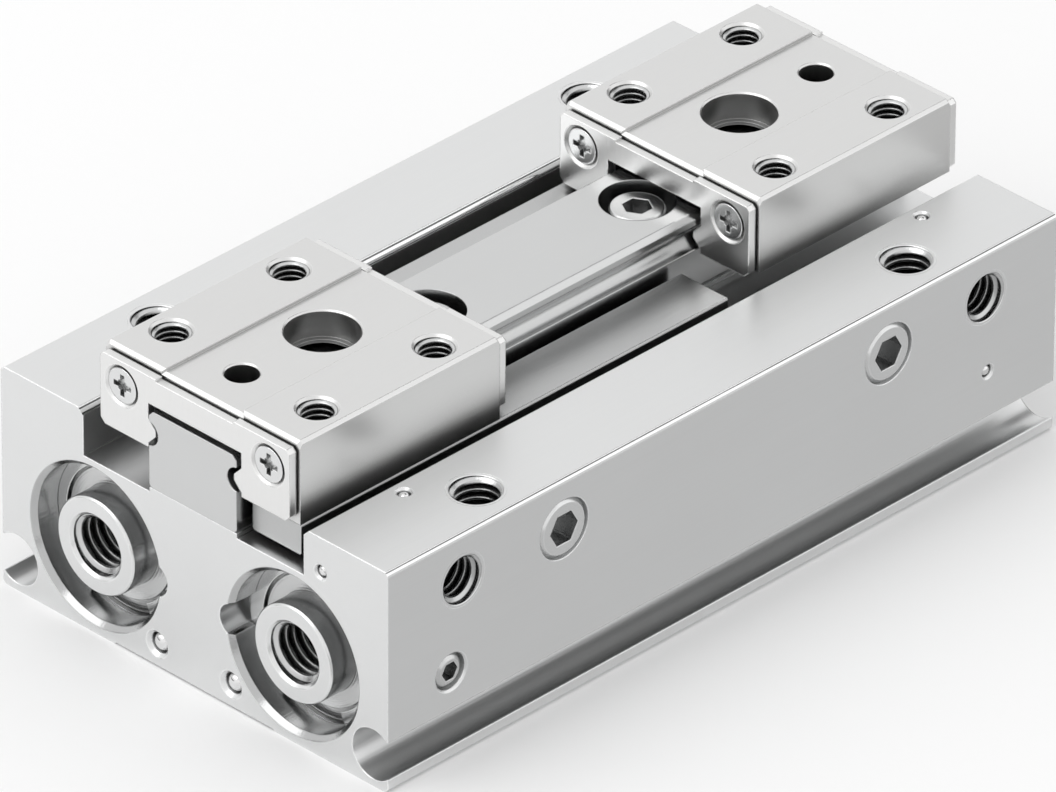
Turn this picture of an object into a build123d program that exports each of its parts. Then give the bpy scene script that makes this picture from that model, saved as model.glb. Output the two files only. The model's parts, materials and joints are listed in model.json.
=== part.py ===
import os
from math import acos, cos, pi, radians, sin, tan

from build123d import *

# Parallel gripper with two jaws on one rail, two pistons and a rack and pinion.
# X runs along the body, Z is up, and the origin is at the middle of the base.
# Half a turn about Z carries jaw a and its drive onto jaw b and its drive.

# Body
body_length = 70.0
body_width = 40.0
strip_top_z = 18.8
channel_width = 22.8
channel_floor_z = 14.85
seat_height = 0.4
edge_chamfer = 0.3
channel_edge_chamfer = 0.5
base_relief_width = 16.4
base_relief_depth = 0.12

# Sensor groove along the foot of each long side
groove_r = 2.12
groove_inset = 1.52
groove_z = 2.71
groove_mouth_bottom_z = 1.12
groove_mouth_top_z = 4.34

# Stroke and jaws
stroke = 10.0
jaw_length = 20.4
jaw_width = 20.0
jaw_end_inset = 11.25
jaw_cover = 3.21
jaw_bottom_z = 18.7
jaw_relief_width = 8.0
jaw_relief_depth = 0.25
jaw_thread_spacing_x = 12.0
jaw_thread_spacing_y = 15.0
jaw_thread_r = 1.5
jaw_thread_depth = 4.2
dowel_offset = 6.2
dowel_r = 1.3
dowel_depth = 2.6
centring_offset = 2.0
centring_r = 2.85
centring_depth = 2.25
access_r = 2.4
jaw_end_chamfer = 0.25
jaw_side_chamfer = 0.25
jaw_thread_chamfer = 0.2
jaw_bore_chamfer = 0.12

# Rail
rail_width = 9.0
rail_height = 6.54
rail_top_chamfer = 0.4
rail_foot_chamfer = 0.25
rail_groove_r = 1.04
rail_groove_offset = 0.1
rail_groove_z = 19.84
jaw_rail_gap = 0.35
jaw_top_gap = 0.45
rail_screw_end = 4.05
rail_screw_pitch = 20.0
rail_bore_r = 2.9
rail_bore_depth = 3.0
rail_head_r = 2.2
rail_head_height = 2.5
rail_head_chamfer = 0.2
rail_socket_af = 2.0
rail_socket_depth = 1.3
rail_thread_r = 1.25
rail_hole_gap = 0.2
rail_screw_reach = 4.0

# Balls between rail and jaw
ball_r = 0.794
ball_count = 6
ball_pitch = 3.0
ball_clearance = 0.05

# End plates and seals
plate_thickness = 0.7
seal_thickness = 0.15
plate_inset = 0.25
plate_drop = 0.5
plate_bottom_z = 18.45
plate_corner = 0.45
plate_top_corner = 0.3
plate_relief_depth = 0.2
plate_lip_depth = 0.45
plate_lip_half_height = 0.25
plate_rail_gap = 0.3
plate_top_gap = {"outer": 0.4, "inner": 0.65}
seal_inset = 0.12
seal_narrowing = 0.1
plate_screw_inset = 2.45
plate_screw_drop = 2.1
plate_screw_head_r = 1.45
plate_screw_sink = 0.08
plate_sink_r = 1.75
plate_screw_r = 0.8
plate_screw_reach = 2.1
plate_hole_gap = 0.1
blind_gap = 0.3
thread_gap = 0.02
recess_arm = 0.9
recess_half_width = 0.22
recess_notch_arm = 0.52
recess_cut_depth = 0.38

# Driver bars
bar_inner_y = 5.1
bar_outer_y = 10.1
bar_bottom_z = 15.45
bar_top_z = 18.0
bar_length = 44.2
bar_chamfer = 0.15
bar_root = 0.5
tang_x = -5.0
tang_length = 8.0
tang_inner_y = 6.95
tang_outer_y = 9.3
tang_bottom_z = 10.95
tang_slot_gap = 0.3
tang_fit = 0.02
driver_screw_r = 1.0
driver_screw_head_r = 1.9
driver_screw_inset = 7.2
driver_screw_spacing = 6.0
driver_screw_reach = 3.2
driver_hole_gap = 0.1
driver_sink_gap = 0.05
driver_socket_af = 1.3
driver_socket_depth = 0.7

# Cylinders
bore_inset = 9.75
bore_z = 7.5
bore_r = 6.0
recess_r = 6.44
recess_mouth_r = 6.85
recess_chamfer = 0.41
recess_depth = 4.3
cap_depth = 10.2
cap_step_depth = 2.6
boss_r = 4.0
boss_chamfer = 0.15
cap_face_r = 5.3
cap_gap = 0.05
port_r = 2.5
port_depth = 5.5
port_chamfer = 0.25
port_passage_r = 1.1
oring_r = 0.62
oring_depth = 9.1
oring_gap = 0.01
oring_groove_share = 1.3
oring_sides = 6

# Retaining rings
ring_depth = 2.42
ring_thickness = 0.66
ring_inner_r = 5.5
ring_outer_r = 6.85
ring_gap_angle = 56.0
ring_gap_centre = -88.0
pocket_r = 1.4
pocket_offset = 6.15
pocket_depth = 3.1

# Pistons
piston_gap = 0.2
head_length = 8.3
head_r = 5.92
head_chamfer = 0.3
rod_r = 5.6
seal_groove_r = 4.5
seal_groove_width = 2.0
seal_groove_x = 1.2
seal_play = 0.1
seal_bore_gap = 0.04
seal_lip = 0.4
seal_lip_depth = 0.7
magnet_groove_x = 4.6
magnet_groove_r = 4.7
magnet_width = 2.0
magnet_r = 5.7
buffer_outer_r = 3.4
buffer_inner_r = 2.0
buffer_thickness = 1.2
buffer_proud = 0.14

# Rack and pinion
gear_module = 0.6
pinion_teeth = 20
pressure_angle = 20.0
tooth_play = 0.12
tip_relief = 0.05
root_share = 1.25
flank_step_count = 4
rack_teeth_front = 8
rack_teeth_rear = 4
pinion_bottom_z = 5.2
pinion_top_z = 9.8
pinion_hub_r = 3.0
pin_r = 1.0
pin_top_z = 13.2
bush_r = 1.5
running_gap = 0.03
pinion_pocket_r = 7.0
pinion_pocket_top_z = 9.95
cover_r = 7.6
cover_thickness = 1.8
cover_seal_r = 0.45

# Threads and plugs of the body, places measured from the body's ends
body_thread_r = 2.0
body_thread_chamfer = 0.22
top_thread_end = 12.5
top_thread_inset = 3.55
top_thread_depth = 6.0
side_thread_end = 7.6
side_thread_z = 14.9
side_thread_depth = 6.0
plug_end = 18.0
plug_z = 14.6
plug_r = 2.5
plug_length = 4.0
plug_chamfer = 0.4
plug_room = 1.0
plug_af = 2.5
plug_socket_depth = 2.0
lock_end = 6.45
lock_z = 7.5
lock_r = 1.5
lock_af = 1.4
lock_sink = 0.15
lock_rim_r = 1.25
lock_face_r = 0.95
lock_rim_depth = 0.18
lock_shoulder_depth = 0.5
lock_mouth = 0.15
lock_socket_depth = 1.2
air_passage_r = 0.8

# Sealing balls of the air drillings
air_ball_r = 0.85
air_ball_sink = 0.25
air_mouth_r = 1.15
small_ball_r = 0.5
small_mouth_r = 0.66
end_ball_offset = 6.41
end_ball_z = 1.96
end_small_ball_offset = 1.7
end_small_ball_z = 15.84
top_ball_offset = 1.6
top_ball_ends = [8.6, 7.2]
side_ball_end = 7.2
side_ball_z = 8.27
drilling_depth = 3.0
ball_profile_count = 4

half_length = body_length / 2
half_width = body_width / 2
channel_half = channel_width / 2
bore_y = half_width - bore_inset
bore_crown_z = bore_z + bore_r / 2
seat_z = channel_floor_z + seat_height
rail_top_z = seat_z + rail_height
top_z = rail_top_z + jaw_cover
rail_half = rail_width / 2
jaw_half = jaw_width / 2
jaw_half_length = jaw_length / 2
jaw_rest_x = half_length - jaw_end_inset
bar_start = -jaw_rest_x - jaw_half_length
plate_half_width = jaw_half - plate_inset
plate_top_z = top_z - plate_drop
plate_screw_z = plate_top_z - plate_screw_drop
plate_screw_y = jaw_half - plate_screw_inset
cover_top_z = base_relief_depth + cover_thickness
cover_middle_z = base_relief_depth + cover_thickness / 2
pitch_r = gear_module * pinion_teeth / 2
rack_pitch = pi * gear_module
piston_half = half_length - cap_depth - piston_gap
piston_start = -piston_half
piston_end = piston_half - stroke
plate_stack = plate_thickness + seal_thickness
opening_half = rail_half + jaw_rail_gap
opening_top_z = rail_top_z + jaw_top_gap


def rod_x(radius, x0, x1, y, z):
    """Round rod along X."""
    return Pos((x0 + x1) / 2, y, z) * Rot(0, 90, 0) * Cylinder(radius, abs(x1 - x0))


def rod_y(radius, y0, y1, x, z):
    """Round rod along Y."""
    return Pos(x, (y0 + y1) / 2, z) * Rot(90, 0, 0) * Cylinder(radius, abs(y1 - y0))


def rod_z(radius, z0, z1, x, y):
    """Round rod along Z."""
    return Pos(x, y, (z0 + z1) / 2) * Cylinder(radius, abs(z1 - z0))


def cone_x(r0, r1, x0, x1, y, z):
    """Round cone along X with radius r0 at x0 and r1 at x1."""
    profile = Polygon((0, x0), (r0, x0), (r1, x1), (0, x1), align=None)
    solid = revolve(Plane.XZ * profile, Axis.Z)
    return Pos(0, y, z) * Rot(0, 90, 0) * solid


def block(x0, x1, y0, y1, z0, z1):
    """Box between two corners."""
    centre = Pos((x0 + x1) / 2, (y0 + y1) / 2, (z0 + z1) / 2)
    return centre * Box(abs(x1 - x0), abs(y1 - y0), abs(z1 - z0))


def along_x(sketch, x0, x1):
    """Extrude a sketch drawn in Y and Z from x0 to x1."""
    return Pos(x0, 0, 0) * extrude(Plane.YZ * sketch, amount=x1 - x0, dir=(1, 0, 0))


def along_z(sketch, z0, z1):
    """Extrude a sketch drawn in X and Y from z0 to z1."""
    return Pos(0, 0, z0) * extrude(sketch, amount=z1 - z0, dir=(0, 0, 1))


def turned(shape):
    """The same shape on the other side, half a turn about Z."""
    return Rot(0, 0, 180) * shape


def both(shape):
    """A shape and its copy half a turn about Z."""
    return shape + turned(shape)


def sunk_rod_z(radius, chamfer_size, z0, z1, x, y):
    """Round hole down from z1 to z0 with a chamfered mouth."""
    depth = z1 - z0
    mouth_r = radius + chamfer_size
    profile = Polygon((0, 0), (mouth_r, 0), (radius, chamfer_size), (radius, depth), (0, depth), align=None)
    return Pos(x, y, z1) * Rot(180, 0, 0) * revolve(Plane.XZ * profile, Axis.Z)


def sunk_rod_y(radius, chamfer_size, depth, x, z):
    """Round hole into the front long side with a chamfered mouth."""
    return Rot(90, 0, 0) * sunk_rod_z(radius, chamfer_size, half_width - depth, half_width, x, z)


def turned_ball(radius):
    """Ball turned from short straight runs."""
    step = pi / ball_profile_count
    angles = [index * step for index in range(ball_profile_count + 1)]
    points = [(radius * sin(angle), radius * cos(angle)) for angle in angles]
    return revolve(Plane.XZ * Polygon(*points, align=None), Axis.Z)


def round_ring(middle_r, section_r):
    """Ring about Z whose section has a few straight sides."""
    section = Pos(middle_r, 0) * RegularPolygon(section_r, oring_sides)
    return revolve(Plane.XZ * section, Axis.Z)


def hexagon_z(across_flats, z0, z1, x, y):
    """Hexagonal prism along Z."""
    prism = extrude(RegularPolygon(across_flats / 2, 6, major_radius=False), amount=z1 - z0)
    return Pos(x, y, z0) * prism


def housing_profile():
    """Cross section of the extrusion in Y and Z."""
    relief_half = base_relief_width / 2
    right = [
        (0, base_relief_depth),
        (relief_half, base_relief_depth),
        (relief_half, 0),
        (half_width - edge_chamfer, 0),
        (half_width, edge_chamfer),
        (half_width, strip_top_z - edge_chamfer),
        (half_width - edge_chamfer, strip_top_z),
        (channel_half + channel_edge_chamfer, strip_top_z),
        (channel_half, strip_top_z - channel_edge_chamfer),
        (channel_half, channel_floor_z),
        (rail_half, channel_floor_z),
        (rail_half, seat_z),
        (0, seat_z),
    ]
    half = Polygon(*right, align=None)
    mouth_height = groove_mouth_top_z - groove_mouth_bottom_z
    mouth_z = (groove_mouth_top_z + groove_mouth_bottom_z) / 2
    groove = Pos(half_width - groove_inset, groove_z) * Circle(groove_r)
    mouth = Pos(half_width, mouth_z) * Rectangle(groove_inset, mouth_height)
    half = half - groove - mouth
    return half + mirror(half, Plane.YZ)


def cylinder_cuts():
    """Bores, their recesses, ring grooves and the ring pockets of both ends."""
    bore = rod_x(bore_r, -half_length, half_length, -bore_y, bore_z)
    cuts = bore
    for side in (-1, 1):
        end = side * half_length
        inward = -side
        cuts += rod_x(recess_r, end, end + inward * recess_depth, -bore_y, bore_z)
        cuts += cone_x(recess_mouth_r, recess_r, end, end + inward * recess_chamfer, -bore_y, bore_z)
        groove_start = end + inward * (ring_depth - cap_gap / 2)
        groove_end = end + inward * (ring_depth + ring_thickness + cap_gap / 2)
        cuts += rod_x(ring_outer_r + cap_gap, groove_start, groove_end, -bore_y, bore_z)
        cuts += rod_x(pocket_r, end, end + inward * pocket_depth, -bore_y + pocket_offset, bore_z)
    return both(cuts)


def pinion_cuts():
    """Pocket of the pinion, seat of its cover and hole of its pin."""
    pocket = rod_z(pinion_pocket_r, 0, pinion_pocket_top_z, 0, 0)
    seat = rod_z(cover_r, 0, cover_top_z, 0, 0)
    pin_hole = rod_z(pin_r, pinion_pocket_top_z, pin_top_z, 0, 0)
    return pocket + seat + pin_hole


def tang_slots():
    """Slots in the channel floor through which the driver tangs reach the pistons."""
    reach = tang_length / 2 - tang_x + tang_slot_gap
    slot = block(-reach, reach, -tang_outer_y - tang_slot_gap, -tang_inner_y + tang_slot_gap,
                 bore_crown_z, seat_z)
    return both(slot)


def rail_screw_places():
    """X of each rail screw."""
    outer = half_length - rail_screw_end
    inner = outer - rail_screw_pitch
    return [-outer, -inner, inner, outer]


def top_thread_places():
    """X of the threads in the top of each strip."""
    reach = half_length - top_thread_end
    return [-reach, reach]


def body_thread_cuts():
    """Threaded holes in the strips and the long sides, drawn at their outer diameter."""
    cuts = []
    top_y = -half_width + top_thread_inset
    top_bottom = strip_top_z - top_thread_depth
    for x in top_thread_places():
        cuts.append(sunk_rod_z(body_thread_r, body_thread_chamfer, top_bottom, strip_top_z, x, top_y))
    side_x = half_length - side_thread_end
    for x in (-side_x, side_x):
        cuts.append(sunk_rod_y(body_thread_r, body_thread_chamfer, side_thread_depth, x, side_thread_z))
    plug_x = half_length - plug_end
    for x in (-plug_x, plug_x):
        plug_bottom = -half_width + plug_length + plug_room
        cuts.append(rod_y(plug_r, -half_width, plug_bottom, x, plug_z))
        cuts.append(rod_z(air_passage_r, bore_crown_z, plug_z, x, plug_bottom - air_passage_r))
    lock_depth = half_width - bore_y - bore_r + blind_gap
    cuts.append(sunk_rod_y(lock_r, lock_mouth, lock_depth, -half_length + lock_end, lock_z))
    return both(Compound(cuts))


def ball_seats():
    """Mouth, drilling and place of each sealing ball on one half of the body."""
    seats = []
    end_ball_y = bore_y - end_ball_offset
    for y in (-end_ball_y, end_ball_y):
        seats.append(("x", (-half_length, y, end_ball_z), air_ball_r, air_mouth_r))
    small_y = -channel_half - end_small_ball_offset
    seats.append(("x", (-half_length, small_y, end_small_ball_z), small_ball_r, small_mouth_r))
    for side, inset in zip((-1, 1), top_ball_ends):
        place = (side * (half_length - inset), -channel_half - top_ball_offset, strip_top_z)
        seats.append(("z", place, small_ball_r, small_mouth_r))
    side_place = (half_length - side_ball_end, -half_width, side_ball_z)
    seats.append(("y", side_place, small_ball_r, small_mouth_r))
    return seats


def seat_frame(axis, place):
    """Location whose Z points into the body at a drilling's mouth."""
    turn = {"x": Rot(0, 90, 0), "y": Rot(-90, 0, 0), "z": Rot(180, 0, 0)}[axis]
    return Pos(*place) * turn


def ball_seat_cuts():
    """Chamfered drillings that the sealing balls close."""
    cuts = []
    for axis, place, radius, mouth in ball_seats():
        step = mouth - radius
        profile = Polygon((0, 0), (mouth, 0), (radius, step), (radius, drilling_depth), (0, drilling_depth),
                          align=None)
        cuts.append(seat_frame(axis, place) * revolve(Plane.XZ * profile, Axis.Z))
    return both(Compound(cuts))


def make_housing():
    """Extrusion with its bores, channel, threads and drillings."""
    body = along_x(housing_profile(), -half_length, half_length)
    body -= cylinder_cuts()
    body -= pinion_cuts()
    body -= tang_slots()
    body -= body_thread_cuts()
    body -= ball_seat_cuts()
    for x in rail_screw_places():
        body -= rod_z(rail_thread_r, seat_z - rail_screw_reach - blind_gap, seat_z, x, 0)
    return body


def make_channel_balls():
    """Sealing balls pressed into the drillings."""
    balls = []
    for axis, place, radius, mouth in ball_seats():
        sink = mouth + air_ball_sink * radius
        balls.append(seat_frame(axis, place) * Pos(0, 0, sink) * turned_ball(radius))
    return [*balls, *[turned(ball) for ball in balls]]


def rail_profile():
    """Cross section of the rail in Y and Z."""
    right = [
        (0, seat_z),
        (rail_half - rail_foot_chamfer, seat_z),
        (rail_half, seat_z + rail_foot_chamfer),
        (rail_half, rail_top_z - rail_top_chamfer),
        (rail_half - rail_top_chamfer, rail_top_z),
        (0, rail_top_z),
    ]
    groove = Pos(rail_half + rail_groove_offset, rail_groove_z) * Circle(rail_groove_r)
    half = Polygon(*right, align=None) - groove
    return half + mirror(half, Plane.YZ)


def make_rail():
    """Guide rail with counterbored screw holes."""
    rail = along_x(rail_profile(), -half_length, half_length)
    for x in rail_screw_places():
        rail -= rod_z(rail_bore_r, rail_top_z - rail_bore_depth, rail_top_z, x, 0)
        rail -= rod_z(rail_thread_r + rail_hole_gap, seat_z, rail_top_z, x, 0)
    return rail


def make_rail_screws():
    """Socket head screws of the rail."""
    screws = []
    seat = rail_top_z - rail_bore_depth
    for x in rail_screw_places():
        head = rod_z(rail_head_r, seat, seat + rail_head_height, x, 0)
        head = chamfer(head.edges().group_by(Axis.Z)[-1], rail_head_chamfer)
        top = seat + rail_head_height
        socket = hexagon_z(rail_socket_af, top - rail_socket_depth, top, x, 0)
        shank = rod_z(rail_thread_r, seat_z - rail_screw_reach, seat, x, 0)
        screws.append(head + shank - socket)
    return screws


def jaw_opening():
    """Cut of the jaw round the rail, in Y and Z, with the ball grooves of the jaw."""
    height = opening_top_z - seat_z
    opening = Pos(0, seat_z + height / 2) * Rectangle(2 * opening_half, height)
    ball_y = rail_ball_y()
    grooves = Pos(ball_y, rail_groove_z) * Circle(ball_r + ball_clearance)
    grooves += Pos(-ball_y, rail_groove_z) * Circle(ball_r + ball_clearance)
    return opening + grooves


def rail_ball_y():
    """Distance of the ball rows from the middle of the rail."""
    return rail_half + rail_groove_offset - rail_groove_r + ball_r + ball_clearance


def make_jaw():
    """Jaw a: a carriage that stands over the rail, lower on its driver bar's side."""
    profile = [
        (-jaw_half, bar_top_z),
        (-opening_half, bar_top_z),
        (-opening_half, jaw_bottom_z),
        (jaw_half, jaw_bottom_z),
        (jaw_half, top_z - jaw_side_chamfer),
        (jaw_half - jaw_side_chamfer, top_z),
        (jaw_relief_width / 2, top_z),
        (jaw_relief_width / 2, top_z - jaw_relief_depth),
        (-jaw_relief_width / 2, top_z - jaw_relief_depth),
        (-jaw_relief_width / 2, top_z),
        (-jaw_half + jaw_side_chamfer, top_z),
        (-jaw_half, top_z - jaw_side_chamfer),
    ]
    sketch = Polygon(*profile, align=None) - jaw_opening()
    jaw = Pos(-jaw_rest_x, 0, 0) * along_x(sketch, -jaw_half_length, jaw_half_length)
    ends = jaw.edges().filter_by(Plane.YZ).filter_by(lambda edge: edge.center().Z > plate_top_z)
    jaw = chamfer(ends, jaw_end_chamfer)
    for dx in (-jaw_thread_spacing_x / 2, jaw_thread_spacing_x / 2):
        for y in (-jaw_thread_spacing_y / 2, jaw_thread_spacing_y / 2):
            x = -jaw_rest_x + dx
            jaw -= sunk_rod_z(jaw_thread_r, jaw_thread_chamfer, top_z - jaw_thread_depth, top_z, x, y)
    relief_z = top_z - jaw_relief_depth
    dowel_x = -jaw_rest_x - dowel_offset
    centring_x = -jaw_rest_x + centring_offset
    jaw -= sunk_rod_z(dowel_r, jaw_bore_chamfer, relief_z - dowel_depth, relief_z, dowel_x, 0)
    jaw -= sunk_rod_z(centring_r, jaw_bore_chamfer, relief_z - centring_depth, relief_z, centring_x, 0)
    jaw -= rod_z(access_r, seat_z, relief_z, centring_x, 0)
    reach = plate_screw_reach + blind_gap
    for face, inward in ((bar_start, 1), (bar_start + jaw_length, -1)):
        for y in (-plate_screw_y, plate_screw_y):
            jaw -= rod_x(plate_screw_r, face, face + inward * reach, y, plate_screw_z)
    thread_top = bar_top_z + driver_screw_reach + blind_gap
    for x in driver_screw_places():
        jaw -= rod_z(driver_screw_r, bar_top_z, thread_top, x, driver_screw_y())
    return jaw


def driver_screw_places():
    """X of the screws that hold the driver bar to jaw a."""
    first = bar_start + driver_screw_inset
    return [first, first + driver_screw_spacing]


def driver_screw_y():
    """Y of the driver bar's screws."""
    return -(bar_inner_y + bar_outer_y) / 2


def plate_outline(clearance, top_clearance):
    """End plate outline in Y and Z, cut round the rail with its lips in the ball grooves."""
    left = [
        (-plate_half_width + plate_corner, plate_bottom_z),
        (-plate_half_width, plate_bottom_z + plate_corner),
        (-plate_half_width, plate_top_z - plate_top_corner),
        (-plate_half_width + plate_top_corner, plate_top_z),
        (0, plate_top_z),
        (0, rail_top_z + top_clearance),
        (-rail_half - clearance, rail_top_z + top_clearance),
        (-rail_half - clearance, rail_groove_z + rail_groove_r),
        (-rail_half + plate_lip_depth, rail_groove_z + plate_lip_half_height),
        (-rail_half + plate_lip_depth, rail_groove_z - plate_lip_half_height),
        (-rail_half - clearance, rail_groove_z - rail_groove_r),
        (-rail_half - clearance, plate_bottom_z),
    ]
    half = Polygon(*left, align=None)
    return half + mirror(half, Plane.YZ)


def plate_places():
    """Start of each end plate and seal of jaw a along X: outer end, then inner end."""
    outer = bar_start
    inner = bar_start + jaw_length
    return {
        "outer": (outer - plate_stack, outer - seal_thickness, outer, -1),
        "inner": (inner + seal_thickness, inner + plate_stack, inner, 1),
    }


def make_end_plate(end):
    """Steel end plate with two countersunk holes."""
    x0, x1, _, side = plate_places()[end]
    plate = along_x(plate_outline(plate_rail_gap, plate_top_gap[end]), x0, x1)
    face = x0 if side < 0 else x1
    for y in (-plate_screw_y, plate_screw_y):
        hole_r = plate_screw_r + plate_hole_gap
        plate -= rod_x(hole_r, x0, x1, y, plate_screw_z)
        plate -= cone_x_between(plate_sink_r, hole_r, face, face - side * plate_thickness, y)
    relief = jaw_relief_width / 2
    plate -= block(x0, x1, -relief, relief, plate_top_z - plate_relief_depth, top_z)
    return plate


def cone_x_between(r0, r1, x0, x1, y):
    """Cone along X at a plate screw, from radius r0 at x0 to r1 at x1."""
    if x1 > x0:
        return cone_x(r0, r1, x0, x1, y, plate_screw_z)
    return cone_x(r1, r0, x1, x0, y, plate_screw_z)


def make_end_seal(end):
    """Thin rubber wiper between the jaw and its end plate."""
    x0, x1, face, side = plate_places()[end]
    start = min(face, face + side * seal_thickness)
    outline = plate_outline(plate_rail_gap - seal_narrowing, plate_top_gap[end] - seal_narrowing)
    seal = along_x(outline, start, start + seal_thickness)
    reach = plate_half_width - seal_inset
    limits = block(start, start + seal_thickness, -reach, reach,
                   plate_bottom_z + seal_inset, plate_top_z - plate_relief_depth - seal_inset)
    for y in (-plate_screw_y, plate_screw_y):
        seal -= rod_x(plate_screw_r + plate_hole_gap, start, start + seal_thickness, y, plate_screw_z)
    return seal & limits


def cross_recess(face, inner, y):
    """Cross-shaped recess with a notch between each two arms, from face to inner."""
    shape = cross(2 * recess_arm, 2 * recess_half_width)
    notches = cross(2 * recess_notch_arm, recess_half_width)
    outline = Pos(y, plate_screw_z) * (shape + Rot(0, 0, 45) * notches)
    return along_x(outline, min(face, inner), max(face, inner))


def cross(length, width):
    """Two bars of the given length and width that cross at right angles."""
    return Rectangle(length, width) + Rectangle(width, length)


def make_plate_screws():
    """Countersunk cross-recess screws of jaw a's end plates."""
    screws = []
    for end in ("outer", "inner"):
        x0, x1, block_face, side = plate_places()[end]
        face = x0 if side < 0 else x1
        head_face = face - side * plate_screw_sink
        neck = face - side * plate_thickness
        tip = block_face - side * plate_screw_reach
        for y in (-plate_screw_y, plate_screw_y):
            head = cone_x_between(plate_screw_head_r, plate_screw_r, head_face, neck, y)
            shank = rod_x(plate_screw_r - thread_gap, neck, tip, y, plate_screw_z)
            screws.append(head + shank - cross_recess(head_face, head_face - side * recess_cut_depth, y))
    return screws


def make_guide_balls():
    """Balls that carry jaw a on the rail."""
    balls = []
    span = (ball_count - 1) * ball_pitch
    for side in (-1, 1):
        for index in range(ball_count):
            x = -jaw_rest_x - span / 2 + index * ball_pitch
            balls.append(Pos(x, side * rail_ball_y(), rail_groove_z) * turned_ball(ball_r))
    return balls


def driver_sink(radius, depth, x):
    """Countersink cone of a driver bar screw, up from the bar's lower face."""
    profile = Polygon((0, 0), (radius, 0), (driver_screw_r, depth), (0, depth), align=None)
    return Pos(x, driver_screw_y(), bar_bottom_z) * revolve(Plane.XZ * profile, Axis.Z)


def make_driver():
    """Driver bar of jaw a with the tang that reaches into piston a."""
    bar = block(bar_start, bar_start + bar_length, -bar_outer_y, -bar_inner_y, bar_bottom_z, bar_top_z)
    bar = chamfer(bar.edges().filter_by(Axis.X), bar_chamfer)
    bar += block(tang_x - tang_length / 2, tang_x + tang_length / 2, -tang_outer_y, -tang_inner_y,
                 tang_bottom_z, bar_bottom_z + bar_root)
    sink = driver_screw_head_r - driver_screw_r
    for x in driver_screw_places():
        bar -= rod_z(driver_screw_r + driver_hole_gap, bar_bottom_z, bar_top_z, x, driver_screw_y())
        bar -= driver_sink(driver_screw_head_r + driver_sink_gap, sink + driver_sink_gap, x)
    return bar


def make_driver_screws():
    """Countersunk screws that hold the driver bar to jaw a."""
    screws = []
    y = driver_screw_y()
    for x in driver_screw_places():
        head = driver_sink(driver_screw_head_r, driver_screw_head_r - driver_screw_r, x)
        shank = rod_z(driver_screw_r - thread_gap, bar_bottom_z, bar_top_z + driver_screw_reach, x, y)
        socket = hexagon_z(driver_socket_af, bar_bottom_z, bar_bottom_z + driver_socket_depth, x, y)
        screws.append(head + shank - socket)
    return screws


def make_end_cap():
    """End cap of bore a at the front end, with its port boss."""
    end = -half_length
    cap = rod_x(boss_r, end, end + cap_step_depth, -bore_y, bore_z)
    cap = chamfer(cap.faces().sort_by(Axis.X)[0].edges(), boss_chamfer)
    shoulder = ring_depth + ring_thickness
    cap += rod_x(cap_face_r, end + cap_step_depth, end + shoulder, -bore_y, bore_z)
    cap += rod_x(recess_r - cap_gap, end + shoulder, end + recess_depth, -bore_y, bore_z)
    cap += rod_x(bore_r - cap_gap, end + recess_depth, end + cap_depth, -bore_y, bore_z)
    cap -= rod_x(port_r, end, end + port_depth, -bore_y, bore_z)
    cap -= cone_x(port_r + port_chamfer, port_r, end, end + port_chamfer, -bore_y, bore_z)
    cap -= rod_x(port_passage_r, end, end + cap_depth, -bore_y, bore_z)
    cap -= oring_groove(end + oring_depth)
    return cap


def oring_groove(x):
    """Groove for the O-ring of an end cap, centred at x."""
    half = oring_groove_share * oring_r
    return band(bore_r - 2 * oring_r - 2 * oring_gap, x - half, 2 * half)


def make_cap_seal():
    """O-ring of the end cap at the front end of bore a."""
    ring = round_ring(bore_r - oring_r - oring_gap, oring_r - oring_gap)
    return Pos(-half_length + oring_depth, -bore_y, bore_z) * Rot(0, 90, 0) * ring


def make_retaining_ring():
    """Open retaining ring at the front end of bore a, its gap pointing down."""
    x0 = -half_length + ring_depth
    ring = rod_x(ring_outer_r, x0, x0 + ring_thickness, -bore_y, bore_z)
    ring -= rod_x(ring_inner_r, x0, x0 + ring_thickness, -bore_y, bore_z)
    reach = 2 * ring_outer_r
    half_gap = radians(ring_gap_angle / 2)
    middle = radians(ring_gap_centre)
    wedge = Polygon(
        (0, 0),
        (reach * cos(middle - half_gap), reach * sin(middle - half_gap)),
        (reach * cos(middle + half_gap), reach * sin(middle + half_gap)),
        align=None)
    cut = Pos(0, -bore_y, bore_z) * along_x(wedge, x0, x0 + ring_thickness)
    return ring - cut


def four_places(shape):
    """Copies of a front bore-a piece at the four bore mouths, keyed by bore and end."""
    rear = mirror(shape, Plane.YZ)
    return {
        "a_front": shape,
        "a_rear": rear,
        "b_front": mirror(shape, Plane.XZ),
        "b_rear": mirror(rear, Plane.XZ),
    }


def ring_places():
    """Retaining rings at the four bore mouths."""
    return four_places(make_retaining_ring())


def make_port_plugs():
    """Flush hex socket plugs in the long sides."""
    plugs = []
    for x in (-half_length + plug_end, half_length - plug_end):
        plug = rod_y(plug_r, -half_width, -half_width + plug_length, x, plug_z)
        plug = chamfer(plug.faces().sort_by(Axis.Y)[0].edges(), plug_chamfer)
        socket = extrude(RegularPolygon(plug_af / 2, 6, major_radius=False), amount=plug_socket_depth)
        plugs.append(plug - Pos(x, -half_width, plug_z) * Rot(-90, 0, 0) * socket)
    return [*plugs, *[turned(plug) for plug in plugs]]


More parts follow.
